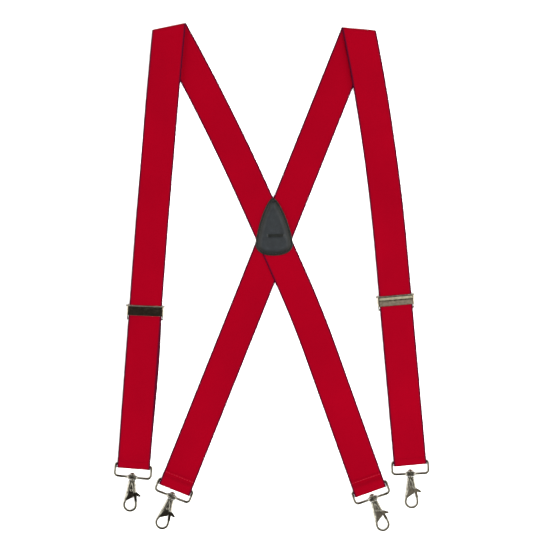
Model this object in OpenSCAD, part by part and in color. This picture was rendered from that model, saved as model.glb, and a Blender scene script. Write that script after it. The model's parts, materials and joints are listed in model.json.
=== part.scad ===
// Dress suspenders with an X back, laid flat: two elastic straps crossed under a
// leather patch and folded over at the shoulders, so that the front runs lie on
// the back ones. Each front run has a slide adjuster with a clamping lever, and
// each of the four ends carries a ring with a swivelling trigger hook.
// Origin: on the surface they lie on, under the crossing of the back straps.
// +Y runs towards the shoulders, +X to the right, +Z up. Headings are measured
// from -Y, so 0 runs straight down the object, and positive leans towards +X.

/* [Webbing] */
// Width of the elastic webbing
strap_w = 38.1; // [36:0.1:38.3]
// Thickness of the elastic webbing
strap_t = 1.4; // [1.3:0.1:1.4]

/* [Back straps] */
// Heading of the left strap where it crosses the right one
left_back_heading = 24.1; // [22:0.1:26]
// Turn of the left strap between the patch and its shoulder
left_shoulder_turn = 4.9; // [3:0.1:6]
// Turn of the left strap below the patch
left_waist_turn = -4.5; // [-6:0.1:-3]
// Length of the left strap from the crossing up to its shoulder fold
left_up = 276.8; // [270:0.1:284]
// Length of the left strap from the crossing down to its end
left_down = 313.5; // [305:0.1:320]
// Heading of the right strap, which runs straight
right_back_heading = -21.8; // [-24:0.1:-20]
// Length of the right strap from the crossing up to its shoulder fold
right_up = 264.4; // [260:0.1:270]
// Length of the right strap from the crossing down to its end
right_down = 312.7; // [305:0.1:320]

/* [Front straps] */
// Heading of the left front run at its lower end
left_front_heading = -4.3; // [-6:0.1:-3]
// Turn of the left front run between the shoulder and the adjuster
left_front_turn = 1.2; // [0.5:0.1:2]
// Length of the left front run from the fold to its end
left_front_len = 515.6; // [505:0.1:525]
// Heading of the right front run at its lower end
right_front_heading = 5.1; // [4:0.1:6]
// Turn of the right front run between the shoulder and the adjuster
right_front_turn = -6.4; // [-7:0.1:-5]
// Length of the right front run from the fold to its end
right_front_len = 510.8; // [500:0.1:520]
// Length over which a front run bends, below which it is straight
front_bend_len = 260; // [240:1:270]
// Distance from the left fold to the middle of the left adjuster
left_adjuster_at = 331; // [325:1:340]
// Distance from the right fold to the middle of the right adjuster
right_adjuster_at = 318; // [312:1:330]

/* [Patch] */
// Height of the leather patch
patch_h = 67.4; // [64:0.1:70]
// Width of the leather patch
patch_w = 43.4; // [40:0.1:46]
// Thickness of each leather layer
patch_t = 1.2; // [1:0.1:1.4]
// How far the patch reaches below the crossing
patch_drop = 18.1; // [16:0.1:20]
// Heading of the patch's centre line
patch_heading = 1.7; // [0:0.1:3]

/* [Rings] */
// Radius of the ring's wire
ring_wire_r = 1.6; // [1.4:0.1:1.6]
// Overall width of a ring
ring_w = 45.2; // [45:0.1:46]
// Distance between the centres of a ring's two long bars
ring_pitch = 14.5; // [13:0.5:16]
// Height of the rings' and hooks' middle plane above the surface
hook_z = 3.6; // [3.6:0.1:3.8]

/* [Hooks] */
// Outer radius of the hook's round end
claw_r = 8.6; // [8.2:0.1:9]
// Radius of the hook's eye
eye_r = 5.3; // [5:0.1:5.5]
// Thickness of the hook's body
claw_t = 5.6; // [5:0.1:6]

/* [Adjusters] */
// Overall width of the adjuster's lever plate
lever_w = 43.7; // [43.6:0.1:44.2]
// Length of the lever plate along the strap
lever_l = 12.4; // [12:0.1:12.4]

/* [Hidden] */
$fn = 64;

// ---- heights above the surface ----
loop_r = hook_z - 0.4 - strap_t;      // inside radius of a loop round a ring's bar
loop_ro = loop_r + strap_t;           // outside radius of that loop
low_z = hook_z - loop_ro;             // underside of the lower layer at a loop
high_z = hook_z + loop_r;             // underside of the upper layer at a loop
bend_r = high_z / 2 + strap_t / 2;    // outside radius of a shoulder fold

// ---- lengths along the straps ----
sewn_half = 45;        // straight stretch that the patch holds, each side
waist_bend_len = 100;  // stretch below the patch over which the left strap turns
end_len = 60;          // last stretch of a back strap, made with its sewn end
end_narrower = 0.1;    // a sewn end draws in a little
fold_over = 18.5;      // where the sewn end's free edge lies, from the strap's end
front_bar_at = 4.7;    // a front end's tip to the middle of its ring's bar
back_bar_at = 6.8;     // a back end's tip to the middle of its ring's bar
spare = 14;            // how far an outline runs past a fold before it is cut

// ---- routes: a state is [x, y, heading], a stretch is [length, turn] ----
function step(p, st) =
    let (h = st[1] / 2, chord = h == 0 ? st[0] : st[0] * sin(h) / (h * PI / 180))
    [p[0] + chord * sin(p[2] + h), p[1] - chord * cos(p[2] + h), p[2] + st[1]];
function walk(p, route, i = 0) = i == len(route) ? p : walk(step(p, route[i]), route, i + 1);
function cuts(p, st) = let (n = max(1, ceil(abs(st[1]) * 1.5))) [for (k = [0 : n - 1]) step(p, st * k / n)];
function trail(p, route, i = 0) =
    i == len(route) ? [p] : concat(cuts(p, route[i]), trail(step(p, route[i]), route, i + 1));
function side(a) = [cos(a), sin(a)];
function spot(p) = [p[0], p[1]];

// ---- the four runs ----
left_top = walk([0, 0, left_back_heading + 180],
                [[sewn_half, 0], [left_up - sewn_half, left_shoulder_turn]]);
right_top = walk([0, 0, right_back_heading + 180], [[right_up, 0]]);
left_fold = [left_top[0], left_top[1], left_back_heading + left_shoulder_turn];
right_fold = [right_top[0], right_top[1], right_back_heading];

left_back_route = [[left_up - sewn_half, -left_shoulder_turn], [2 * sewn_half, 0],
                   [waist_bend_len, left_waist_turn],
                   [left_down - sewn_half - waist_bend_len - end_len, 0]];
right_back_route = [[right_up + right_down - end_len, 0]];
left_back_end = walk(left_fold, concat(left_back_route, [[end_len, 0]]));
right_back_end = walk(right_fold, concat(right_back_route, [[end_len, 0]]));

left_front_start = [left_fold[0], left_fold[1], left_front_heading - left_front_turn];
right_front_start = [right_fold[0], right_fold[1], right_front_heading - right_front_turn];
function front_route(turn, l) = [[front_bend_len, turn], [l - front_bend_len, 0]];
left_front_end = walk(left_front_start, front_route(left_front_turn, left_front_len));
right_front_end = walk(right_front_start, front_route(right_front_turn, right_front_len));
left_adjuster = walk(left_front_start, front_route(left_front_turn, left_adjuster_at));
right_adjuster = walk(right_front_start, front_route(right_front_turn, right_adjuster_at));
left_adjuster_heading = left_front_heading + 2;   // it sits slightly askew on the strap

// A fold line halves the angle between the run that arrives and the run that leaves
function fold_angle(back, front) = (back + front) / 2;
left_fold_a = fold_angle(left_fold[2], left_front_start[2]);
right_fold_a = fold_angle(right_fold[2], right_front_start[2]);

// ---- hooks: [strap end, bar distance, ring heading, claw heading] ----
left_front_hook = [left_front_end, front_bar_at, left_front_heading - 2.2, -4.1];
right_front_hook = [right_front_end, front_bar_at, right_front_heading - 2.6, 3.0];
left_back_hook = [left_back_end, back_bar_at, left_back_end[2], 21.4];
right_back_hook = [right_back_end, back_bar_at, right_back_heading, -19.4];

// ---- profiles: knots are [distance, underside], joined by smooth ramps ----
function ease(t) = t * t * (3 - 2 * t);
function ramp(a, b, n = 8) = a[1] == b[1] ? [a]
    : [for (i = [0 : n - 1]) [a[0] + (b[0] - a[0]) * i / n, a[1] + (b[1] - a[1]) * ease(i / n)]];
function under(k) = concat([for (i = [0 : len(k) - 2]) each ramp(k[i], k[i + 1])], [k[len(k) - 1]]);
module layer(knots) {
    low = under(knots);
    n = len(low);
    polygon(concat(low, [for (i = [n - 1 : -1 : 0]) low[i] + [0, strap_t]]));
}

// The outline of a strap along a row of states
module outline(states) {
    n = len(states);
    polygon(concat([for (s = states) spot(s) + strap_w / 2 * side(s[2])],
                   [for (i = [n - 1 : -1 : 0]) spot(states[i]) - strap_w / 2 * side(states[i][2])]));
}

// Children drawn in a state's own frame: +Y back up the strap, origin on its centre line
module at(p) translate([p[0], p[1], 0]) rotate([0, 0, p[2]]) children();

// A profile drawn as (distance up the strap, height), carried across the strap
module across(w = strap_w) rotate([90, 0, 90]) linear_extrude(w, center = true) children();

// Half a ring of webbing round a bar, open up the strap (sense 1) or down it (-1)
module turn(at_y, z, r, sense = 1) translate([at_y, z]) difference() {
    circle(r + strap_t);
    circle(r);
    translate([sense > 0 ? 0 : -20, -10]) square([20, 20]);
}

// What lies past a fold line: everything less than d inside the fold's outer edge
module past_fold(fold, a, d) translate([fold[0], fold[1]]) rotate(a)
    translate([-60, -d]) square([120, 60]);

module back_strap(start, route, fold, fold_a, level) color("firebrick") {
    states = trail(step(start, [-spare, 0]), concat([[spare, 0]], route));
    end = walk(start, concat(route, [[end_len, 0]]));
    intersection() {
        linear_extrude(12) difference() {
            outline(states);
            past_fold(fold, fold_a, bend_r);
        }
        at([0, 0, level[0]]) across(200) layer(level[1]);
    }
    at(end) across(strap_w - end_narrower) {
        layer([[loop_ro, low_z], [28, low_z], [50, 0], [end_len + 1, 0]]);
        turn(loop_ro, hook_z, loop_r);
        layer([[loop_ro, high_z], [back_bar_at + 2, high_z], [15.4, low_z + strap_t],
               [fold_over, low_z + strap_t]]);
    }
}

// Underside heights of the back straps, in the frame of the crossing
right_levels = [[400, 0], [86, 0], [52, patch_t], [-28, patch_t], [-62, 0], [-400, 0]];
left_levels = [[400, 0], [86, 0], [50, patch_t + strap_t], [-50, patch_t + strap_t], [-86, 0], [-400, 0]];
module left_back_strap()
    back_strap(left_fold, left_back_route, left_fold, left_fold_a, [left_back_heading, left_levels]);
module right_back_strap()
    back_strap(right_fold, right_back_route, right_fold, right_fold_a, [right_back_heading, right_levels]);

// ---- patch: a bell outline, its half width given by height above its lower edge ----
patch_wide_h = 14;   // height at which it is widest
function bell(h) = patch_w / 2 * (h < patch_wide_h
    ? pow(1 - pow(1 - h / patch_wide_h, 2.25), 1 / 2.25)
    : pow(1 - pow((h - patch_wide_h) / (patch_h - patch_wide_h), 1.3), 0.65));
function bell_heights(n = 24) = [for (i = [0 : n]) patch_h * (1 - cos(180 * i / n)) / 2];
module patch_shape() translate([0, -patch_drop]) polygon(concat(
    [for (h = bell_heights()) [bell(h), h]],
    [for (h = bell_heights()) if (h > 0 && h < patch_h) [-bell(patch_h - h), patch_h - h]]));
module patch_place() at([0, 0, patch_heading]) children();
patch_front_z = patch_t + 2 * strap_t;
module patch_back() color("dimgray") patch_place() linear_extrude(patch_t) patch_shape();
module patch_front() color("dimgray") patch_place()
    translate([0, 0, patch_front_z]) linear_extrude(patch_t) patch_shape();

// One thread stitch lying on a surface at height z
stitch_l = 2.2;
stitch_h = 0.3;
module stitch(z, a = 0, l = stitch_l) translate([0, 0, z]) rotate([0, 0, a])
    translate([-l / 2, -0.3, 0]) cube([l, 0.6, stitch_h]);
// Rim stitches sit at even shares of the bell, drawn towards its middle
rim_share = 0.86;
rim_mid_h = 26;
function rim_point(h, s) = [s * rim_share * bell(h), rim_mid_h + (h - rim_mid_h) * 0.91 - patch_drop];
module rim_side(s) for (i = [1 : 21]) {
    h = patch_h * (1 - cos(180 * i / 22)) / 2;
    p = rim_point(h, s);
    d = rim_point(h + 0.2, s) - rim_point(h - 0.2, s);
    translate(p) stitch(patch_front_z + patch_t, atan2(d[1], d[0]), i < 4 || i > 18 ? 1.8 : stitch_l);
}
module patch_stitching() color("black") patch_place() {
    rim_side(1);
    rim_side(-1);
}

// A row of stitches across a strap
module stitch_row(y, z) for (i = [-5 : 5]) translate([i * 3.2, y, 0]) stitch(z);
module back_end_stitching() color("darkred") for (end = [left_back_end, right_back_end])
    at(end) stitch_row(16.6, low_z + 2 * strap_t);

// ---- shoulder folds: half a tube along the fold line, cut to both straps ----
fold_gap = 0.3;   // flat stretch of the bend that reaches the front strap's edge
module fold_tube(fold, fold_a) translate([fold[0], fold[1], 0]) rotate([0, 0, fold_a])
    across(120) translate([-bend_r, bend_r]) {
        difference() {
            circle(bend_r);
            circle(bend_r - strap_t);
            translate([-20, -10]) square([20, 20]);
        }
        translate([-fold_gap, bend_r - strap_t]) square([fold_gap, strap_t]);
    }
module shoulder_bend(fold, back_states, front_states, fold_a) color("firebrick") {
    intersection() {
        fold_tube(fold, fold_a);
        linear_extrude(bend_r) outline(back_states);
    }
    intersection() {
        fold_tube(fold, fold_a);
        translate([0, 0, bend_r]) linear_extrude(bend_r) outline(front_states);
    }
}
module left_shoulder_bend() shoulder_bend(left_fold,
    [step(left_fold, [-spare, 0]), step(left_fold, [spare, 0])],
    [step(left_front_start, [-spare, 0]), step(left_front_start, [spare, 0])], left_fold_a);
module right_shoulder_bend() shoulder_bend(right_fold,
    [step(right_fold, [-spare, 0]), step(right_fold, [spare, 0])],
    [step(right_front_start, [-spare, 0]), step(right_front_start, [spare, 0])], right_fold_a);

// ---- front straps: from the fold, down to the surface, and up through the adjuster ----
joint_below = 13;      // the strap's own layer ends this far below the adjuster
level_above = 92;      // level stretch that the adjuster can climb
function front_levels(adjuster_at) = [[-joint_below, high_z], [level_above, high_z],
    [level_above + 72, 0], [adjuster_at - 142, 0], [adjuster_at - 68, high_z], [adjuster_at + 40, high_z]];
module front_strap(start, turn_by, adjuster_at, adjuster, fold, fold_a) color("crimson") intersection() {
    linear_extrude(12) difference() {
        outline(trail(step(start, [-spare, 0]),
            concat([[spare, 0]], front_route(turn_by, adjuster_at + joint_below + 8))));
        past_fold(fold, fold_a, bend_r + fold_gap);
    }
    at(adjuster) across(200) layer(front_levels(adjuster_at));
}
module left_front_strap() front_strap(left_front_start, left_front_turn, left_adjuster_at,
    left_adjuster, left_fold, left_fold_a);
module right_front_strap() front_strap(right_front_start, right_front_turn, right_adjuster_at,
    right_adjuster, right_fold, right_fold_a);

// ---- the webbing loop that runs down to the ring and back up to the adjuster ----
tail_bar_y = -9.8;                          // the adjuster's tail bar, from its middle
tail_bar_r = 0.9;
tail_wrap_r = tail_bar_r + 0.05;
tail_bar_z = low_z + strap_t + tail_wrap_r;
tail_fold = 18;                             // folded end of the tail, below its bar
tail_seat = 10;                             // where that folded end meets the tail
module hook_loop(end, run, adjuster_heading) color("crimson") {
    at(end) across() {
        layer([[loop_ro, high_z], [run - joint_below - 0.1, high_z]]);
        turn(loop_ro, hook_z, loop_r);
        layer([[loop_ro, low_z], [run + tail_bar_y - 12, low_z]]);
    }
    adjuster = step(end, [-run, 0]);
    at([adjuster[0], adjuster[1], adjuster_heading]) across() {
        layer([[tail_bar_y - tail_fold - 4, low_z], [tail_bar_y, low_z]]);
        turn(tail_bar_y, tail_bar_z, tail_wrap_r, -1);
        layer([[tail_bar_y - tail_fold, low_z + strap_t], [tail_bar_y - tail_seat, low_z + strap_t],
               [tail_bar_y, tail_bar_z + tail_wrap_r]]);
    }
}
module left_hook_loop() hook_loop(left_front_end, left_front_len - left_adjuster_at, left_adjuster_heading);
module right_hook_loop() hook_loop(right_front_end, right_front_len - right_adjuster_at, right_front_heading);
module tail_stitching(adjuster, heading) color("darkred") at([adjuster[0], adjuster[1], heading])
    for (y = [-13, -16]) stitch_row(tail_bar_y + y, low_z + 2 * strap_t);
module left_tail_stitching() tail_stitching(left_adjuster, left_adjuster_heading);
module right_tail_stitching() tail_stitching(right_adjuster, right_front_heading);

// ---- adjusters, drawn round the strap: +Y up the strap, heights from the surface ----
cheek_in = 19.9;         // inner face of the frame's cheeks
cheek_t = 0.9;
pivot_y = 5.3;           // the lever's pivot
pivot_z = 7.6;
rivet_r = 0.7;
plate_z = 9.2;           // underside of the lever plate
plate_t = 1.0;
module adjuster_frame(p) color("silver") at(p) difference() {
    union() {
        for (s = [-1, 1]) translate([s * (cheek_in + cheek_t / 2), 0, 0]) across(cheek_t) {
            polygon([[-11.2, 1.7], [6.6, 1.7], [6.6, pivot_z], [pivot_y - 4, pivot_z],
                     [-6.6, 4.6], [-11.2, 4.6]]);
            translate([pivot_y, pivot_z]) circle(1.4);
        }
        translate([-cheek_in - cheek_t, 0.6, 3.9]) cube([2 * (cheek_in + cheek_t), 6, 1.2]);
        translate([0, tail_bar_y, tail_bar_z]) rotate([0, 90, 0])
            cylinder(r = tail_bar_r, h = 2 * (cheek_in + cheek_t), center = true);
    }
    translate([0, pivot_y, pivot_z]) rotate([0, 90, 0]) cylinder(r = rivet_r, h = 60, center = true);
}
flange_t = 0.9;
flange_out = lever_w / 2;
module adjuster_lever(p) color("gainsboro") at(p) difference() {
    union() {
        translate([-lever_w / 2, pivot_y + 0.7 - lever_l, plate_z]) cube([lever_w, lever_l, plate_t]);
        for (s = [-1, 1]) translate([s * (flange_out - flange_t / 2), 0, 0]) across(flange_t)
            translate([pivot_y + 0.7 - lever_l, 6.6]) square([lever_l, plate_z + plate_t - 6.6]);
        translate([-cheek_in + 0.6, pivot_y - 0.4, 7.0]) cube([2 * cheek_in - 1.2, 0.8, plate_z - 6.9]);
    }
    translate([0, pivot_y, pivot_z]) rotate([0, 90, 0]) cylinder(r = rivet_r + 0.05, h = 60, center = true);
}
module adjuster_rivets(p) color("silver") at(p) for (s = [0, 180]) translate([0, pivot_y, pivot_z])
    rotate([0, 90, s]) {
        translate([0, 0, cheek_in - 0.3]) cylinder(r = rivet_r, h = flange_out - cheek_in + 0.5);
        translate([0, 0, flange_out + 0.1]) cylinder(r = 1.3, h = 0.5);
    }
left_adjuster_place = [left_adjuster[0], left_adjuster[1], left_adjuster_heading];
module left_adjuster_frame() adjuster_frame(left_adjuster_place);
module right_adjuster_frame() adjuster_frame(right_adjuster);
module left_adjuster_rivets() adjuster_rivets(left_adjuster_place);
module right_adjuster_rivets() adjuster_rivets(right_adjuster);
module left_adjuster_lever() adjuster_lever(left_adjuster_place);
module right_adjuster_lever() adjuster_lever(right_adjuster);

// ---- hook frames ----
function bar_spot(hook) = step(hook[0], [-hook[1], 0]);
function ring_state(hook) = [bar_spot(hook)[0], bar_spot(hook)[1], hook[2]];
function low_bar(hook) = step(ring_state(hook), [ring_pitch, 0]);
function claw_state(hook) = [low_bar(hook)[0], low_bar(hook)[1], hook[3]];
module at_ring(hook) at(ring_state(hook)) translate([0, 0, hook_z]) children();
module at_claw(hook) at(claw_state(hook)) translate([0, 0, hook_z]) children();

// ---- ring: a rounded oblong of wire, its lower bar swollen round the swivel hole ----
ring_half = ring_w / 2 - ring_wire_r;
top_corner_r = 2.4;      // tight, so that the wire clears the webbing's edges as the ring tilts
low_corner_r = 4.2;
boss_r = 2.9;
boss_half = 4.4;
swivel_hole_r = 2.1;
module rod(l) rotate([0, 90, 0]) cylinder(r = ring_wire_r, h = l, center = true);
module corner(r) rotate_extrude(angle = 90) translate([r, 0]) circle(ring_wire_r);
module ring(hook) color("silver") at_ring(hook) difference() {
    union() {
        rod(2 * (ring_half - top_corner_r));
        translate([0, -ring_pitch, 0]) rod(2 * (ring_half - low_corner_r));
        for (s = [-1, 1]) translate([s * ring_half, (low_corner_r - top_corner_r - ring_pitch) / 2, 0])
            rotate([0, 0, 90]) rod(ring_pitch - top_corner_r - low_corner_r);
        for (s = [0, 1]) {
            translate([(1 - 2 * s) * (ring_half - top_corner_r), -top_corner_r, 0])
                rotate([0, 0, 90 * s]) corner(top_corner_r);
            translate([(2 * s - 1) * (ring_half - low_corner_r), low_corner_r - ring_pitch, 0])
                rotate([0, 0, 180 + 90 * s]) corner(low_corner_r);
        }
        translate([0, -ring_pitch, 0]) rotate([0, 90, 0]) {
            cylinder(r = boss_r, h = 2 * boss_half, center = true);
            for (s = [0, 180]) rotate([s, 0, 0]) translate([0, 0, boss_half])
                cylinder(r1 = boss_r, r2 = ring_wire_r, h = 1.8);
        }
    }
    translate([0, -ring_pitch, 0]) rotate([90, 0, 0]) cylinder(r = swivel_hole_r, h = 12, center = true);
}

// ---- claw: a pear-shaped casting with a round eye, open on the right for the gate ----
claw_mid = [-0.4, -32];      // centre of the round end
pivot = [0, -15];            // the gate's pivot
neck_half = 4.8;
neck_top = -3.2;
tip_y = -27.6;               // top of the hook's tip
sweep_r = 15.2;              // radius of the space that the gate turns in
slot_half = 1.35;
// Where a line from point q touches the circle (c, r), on the side s
function touch(q, c, r, s) =
    let (d = q - c, a = atan2(d[1], d[0]) + s * acos(r / norm(d)))
    c + r * [cos(a), sin(a)];
neck_l = [-neck_half, -8];
neck_r = [neck_half, -8];
module claw_outline() {
    translate(claw_mid) circle(claw_r);
    polygon([neck_l, touch(neck_l, claw_mid, claw_r, 1), claw_mid,
             touch(neck_r, claw_mid, claw_r, -1), neck_r]);
}
module eye() {
    translate(claw_mid) circle(eye_r);
    polygon([[3.4, -22.6], [-4.7, -27.8], claw_mid + [-eye_r, 0], claw_mid + [eye_r, 0], [4.6, -27]]);
}
// The gate's room: a sector about the pivot, from fully open to past the outer edge
module gate_room(lo = -106, hi = 40) {
    translate(pivot) polygon(concat([[0, 0]],
        [for (i = [0 : 8]) let (a = lo + (hi - lo) * i / 8) (sweep_r + 0.6) * [cos(a), sin(a)]]));
    translate(pivot) circle(3.3);
}
module claw(hook) color("silver") at_claw(hook) difference() {
    union() {
        linear_extrude(claw_t, center = true) claw_outline();
        intersection() {
            rotate([90, 0, 0]) {
                translate([0, 0, -neck_top]) cylinder(r1 = 3.7, r2 = neck_half, h = 1.6);
                translate([0, 0, 1.6 - neck_top]) cylinder(r = neck_half, h = 6.6);
            }
            cube([20, 60, 6.2], center = true);
        }
    }
    linear_extrude(20, center = true) {
        eye();
        polygon([[2.9, -17.2], [12, -17.2], [12, tip_y], [2.9, tip_y]]);
        polygon([[-1.3, -5.4], [1.3, -5.4], [2.6, -11.2], [-2.6, -11.2]]);
    }
    intersection() {
        linear_extrude(2 * slot_half, center = true) gate_room();
        translate(pivot) cylinder(r = sweep_r, h = 10, center = true);
    }
    rotate([90, 0, 0]) cylinder(r = pin_r + 0.05, h = 8.5);
    translate(pivot) cylinder(r = gate_rivet_r, h = 10, center = true);
}

// ---- swivel pin: a domed head inside the ring, a shank and a peened end ----
pin_r = 1.75;
head_r = 3.4;
module swivel_pin(hook) color("gainsboro") at_claw(hook) rotate([-90, 0, 0]) {
    translate([0, 0, -8.4]) cylinder(r = pin_r, h = 12);
    translate([0, 0, -9.4]) cylinder(r1 = 1.6, r2 = 2.2, h = 1.2);
    translate([0, 0, -neck_top]) intersection() {
        translate([0, 0, head_r - 5.2]) sphere(r = 4.2);
        cylinder(r = head_r, h = 5);
    }
}

// ---- gate: a flat arm on the rivet, with a thumb tab on its outer edge ----
gate_rivet_r = 0.9;
gate_t = 2.4;
gate_hub_r = 3.0;
gate_tip_r = 14.8;
module gate(hook) color("gainsboro") at_claw(hook) difference() {
    linear_extrude(gate_t, center = true) {
        translate(pivot) circle(gate_hub_r);
        intersection() {
            translate(pivot) circle(gate_tip_r);
            polygon([pivot + [1.6, 2.4], [5.6, -14.9], [5.9, -16.7], [7.6, -17.6], [11.3, -20.4],
                     [11.1, -22.0], [9.4, -22.2], [6.6, -21.2], [8.0, -29.5], [4.9, -29.5],
                     [3.7, -22.6], [0.4, -17.6]]);
        }
    }
    translate(pivot) cylinder(r = gate_rivet_r + 0.05, h = 10, center = true);
    translate([pivot[0], pivot[1], 0.3]) cylinder(r = spring_room_r, h = 2);
}
module gate_rivet(hook) color("gainsboro") at_claw(hook) translate(pivot) {
    cylinder(r = gate_rivet_r, h = claw_t, center = true);
    for (s = [0, 180]) rotate([s, 0, 0]) translate([0, 0, claw_t / 2]) cylinder(r1 = 1.5, r2 = 1.0, h = 0.4);
}

// ---- gate spring: one coil round the rivet with a leg to each side ----
spring_wire = 0.28;
spring_r = 2.1;
spring_leg = 1.4;
spring_room_r = 3.1;     // clear of the spring and its legs
module gate_spring(hook) color("dimgray") at_claw(hook) translate([pivot[0], pivot[1], 0.75]) {
    rotate_extrude() translate([spring_r, 0]) circle(spring_wire);
    for (leg = [[-140, -1], [-52, 1]]) rotate([0, 0, leg[0]]) translate([0, leg[1] * spring_r, 0])
        rotate([0, 90, 0]) cylinder(r = spring_wire, h = spring_leg);
}

left_back_strap();
right_back_strap();
patch_front();
patch_back();
patch_stitching();
back_end_stitching();
left_shoulder_bend();
right_shoulder_bend();
left_front_strap();
right_front_strap();
left_hook_loop();
right_hook_loop();
left_adjuster_frame();
right_adjuster_frame();
left_adjuster_rivets();
right_adjuster_rivets();
left_adjuster_lever();
right_adjuster_lever();
left_tail_stitching();
right_tail_stitching();
ring(left_front_hook);  // left_front_ring
ring(right_front_hook);  // right_front_ring
ring(left_back_hook);  // left_back_ring
ring(right_back_hook);  // right_back_ring
claw(left_front_hook);  // left_front_claw
claw(right_front_hook);  // right_front_claw
claw(left_back_hook);  // left_back_claw
claw(right_back_hook);  // right_back_claw
swivel_pin(left_front_hook);  // left_front_swivel_pin
swivel_pin(right_front_hook);  // right_front_swivel_pin
swivel_pin(left_back_hook);  // left_back_swivel_pin
swivel_pin(right_back_hook);  // right_back_swivel_pin
gate(left_front_hook);  // left_front_gate
gate(right_front_hook);  // right_front_gate
gate(left_back_hook);  // left_back_gate
gate(right_back_hook);  // right_back_gate
gate_rivet(left_front_hook);  // left_front_gate_rivet
gate_rivet(right_front_hook);  // right_front_gate_rivet
gate_rivet(left_back_hook);  // left_back_gate_rivet
gate_rivet(right_back_hook);  // right_back_gate_rivet
gate_spring(left_front_hook);  // left_front_gate_spring
gate_spring(right_front_hook);  // right_front_gate_spring
gate_spring(left_back_hook);  // left_back_gate_spring
gate_spring(right_back_hook);  // right_back_gate_spring
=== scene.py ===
import json
import math

import bmesh
import bpy
import numpy as np
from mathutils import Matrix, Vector

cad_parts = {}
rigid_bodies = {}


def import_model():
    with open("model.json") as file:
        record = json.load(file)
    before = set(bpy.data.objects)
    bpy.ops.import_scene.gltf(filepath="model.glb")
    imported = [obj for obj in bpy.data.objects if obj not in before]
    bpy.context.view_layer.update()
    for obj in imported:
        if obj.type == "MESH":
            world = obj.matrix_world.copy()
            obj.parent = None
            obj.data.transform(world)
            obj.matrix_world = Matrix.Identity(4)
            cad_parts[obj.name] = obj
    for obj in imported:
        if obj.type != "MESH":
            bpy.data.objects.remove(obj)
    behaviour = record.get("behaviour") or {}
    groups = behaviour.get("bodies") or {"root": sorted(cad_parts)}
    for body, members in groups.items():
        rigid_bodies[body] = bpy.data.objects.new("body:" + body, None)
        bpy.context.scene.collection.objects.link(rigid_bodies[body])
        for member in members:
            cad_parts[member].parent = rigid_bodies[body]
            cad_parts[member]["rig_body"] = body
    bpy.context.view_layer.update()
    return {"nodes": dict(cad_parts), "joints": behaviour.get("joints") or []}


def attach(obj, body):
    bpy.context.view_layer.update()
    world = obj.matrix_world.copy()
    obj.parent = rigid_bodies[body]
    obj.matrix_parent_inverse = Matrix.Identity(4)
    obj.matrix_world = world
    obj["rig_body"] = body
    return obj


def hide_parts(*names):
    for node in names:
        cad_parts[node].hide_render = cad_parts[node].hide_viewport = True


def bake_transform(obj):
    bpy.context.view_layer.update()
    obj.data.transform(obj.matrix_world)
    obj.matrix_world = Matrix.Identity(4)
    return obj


# Dress suspenders laid flat: two crossed elastic straps under a leather patch, folded
# over at the shoulders, with a lever adjuster on each front run and a ring with a
# swivelling trigger hook on each of the four ends. Shapes are worked out in millimetres,
# in frames taken from the joints, and put into meshes in metres.

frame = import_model()
MM = 0.001
JOINTS = {j["name"]: j for j in frame["joints"]}


# ---- places ----
def ease(t):
    """A smooth step from 0 to 1: 3 t squared less 2 t cubed, flat before 0 and after 1."""
    t = np.clip(t, 0, 1)
    return t * t * (3 - 2 * t)


def rounded(t):
    """A quarter circle's rise: the square root of 1 less the square of 1 less t."""
    return np.sqrt(np.clip(1 - (1 - np.clip(t, 0, 1)) ** 2, 0, 1))


def eased(x, knots):
    """The height at x on a line that joins knots (place, height) by smooth steps."""
    k = np.array(knots, float)
    i = np.clip(np.searchsorted(k[:, 0], x) - 1, 0, len(k) - 2)
    return k[i, 1] + (k[i + 1, 1] - k[i, 1]) * ease((x - k[i, 0]) / (k[i + 1, 0] - k[i, 0]))


def across_of(heading):
    """The direction across a strap of that heading, in degrees from straight down."""
    h = np.radians(heading)
    return np.stack([np.cos(h), np.sin(h), 0 * h], -1)


def down_of(heading):
    """The direction down a strap of that heading."""
    h = np.radians(heading)
    return np.stack([np.sin(h), -np.cos(h), 0 * h], -1)


def placed(points, origin, heading):
    """Points drawn with x across, y up the strap and z up, turned to a heading, moved to an origin."""
    p = np.asarray(points, float)
    return (np.asarray(origin, float) + p[..., :1] * across_of(heading)
            - p[..., 1:2] * down_of(heading) + p[..., 2:] * np.array([0, 0, 1.0]))


def joint_spot(name):
    """A joint's place in millimetres and its axis."""
    return np.array(JOINTS[name]["pos_m"]) / MM, np.array(JOINTS[name]["axis"])


# ---- meshes ----
def grid_quads(rows, columns, round_rows):
    """Corner numbers of the quads of a grid, joined round its columns and, if asked, its rows."""
    i = np.arange(rows if round_rows else rows - 1)[:, None]
    j = np.arange(columns)[None, :]
    a, b = i * columns, (i + 1) % rows * columns
    k = (j + 1) % columns
    return np.stack([a + j, a + k, b + k, b + j], -1).reshape(-1, 4)


def tube(rings, along=None, around=None, endless=False):
    """A closed skin through rings of points (stations, points, 3): each end is closed by one face,
    or the last ring joins the first. along and around give the skin's own map, in millimetres."""
    stations, n = rings.shape[:2]
    v = np.arange(stations) * 1.0 if along is None else np.asarray(along, float)
    u = np.arange(n) * 1.0 if around is None else np.asarray(around, float)
    quads = grid_quads(stations, n, endless)
    points = rings.reshape(-1, 3)
    maps = np.stack(np.broadcast_arrays(u, v[:, None]), -1).reshape(-1, 2)
    faces = quads.tolist()
    if not endless:
        faces += [list(range(n))[::-1], list(range((stations - 1) * n, stations * n))]
    return points, faces, maps


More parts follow.
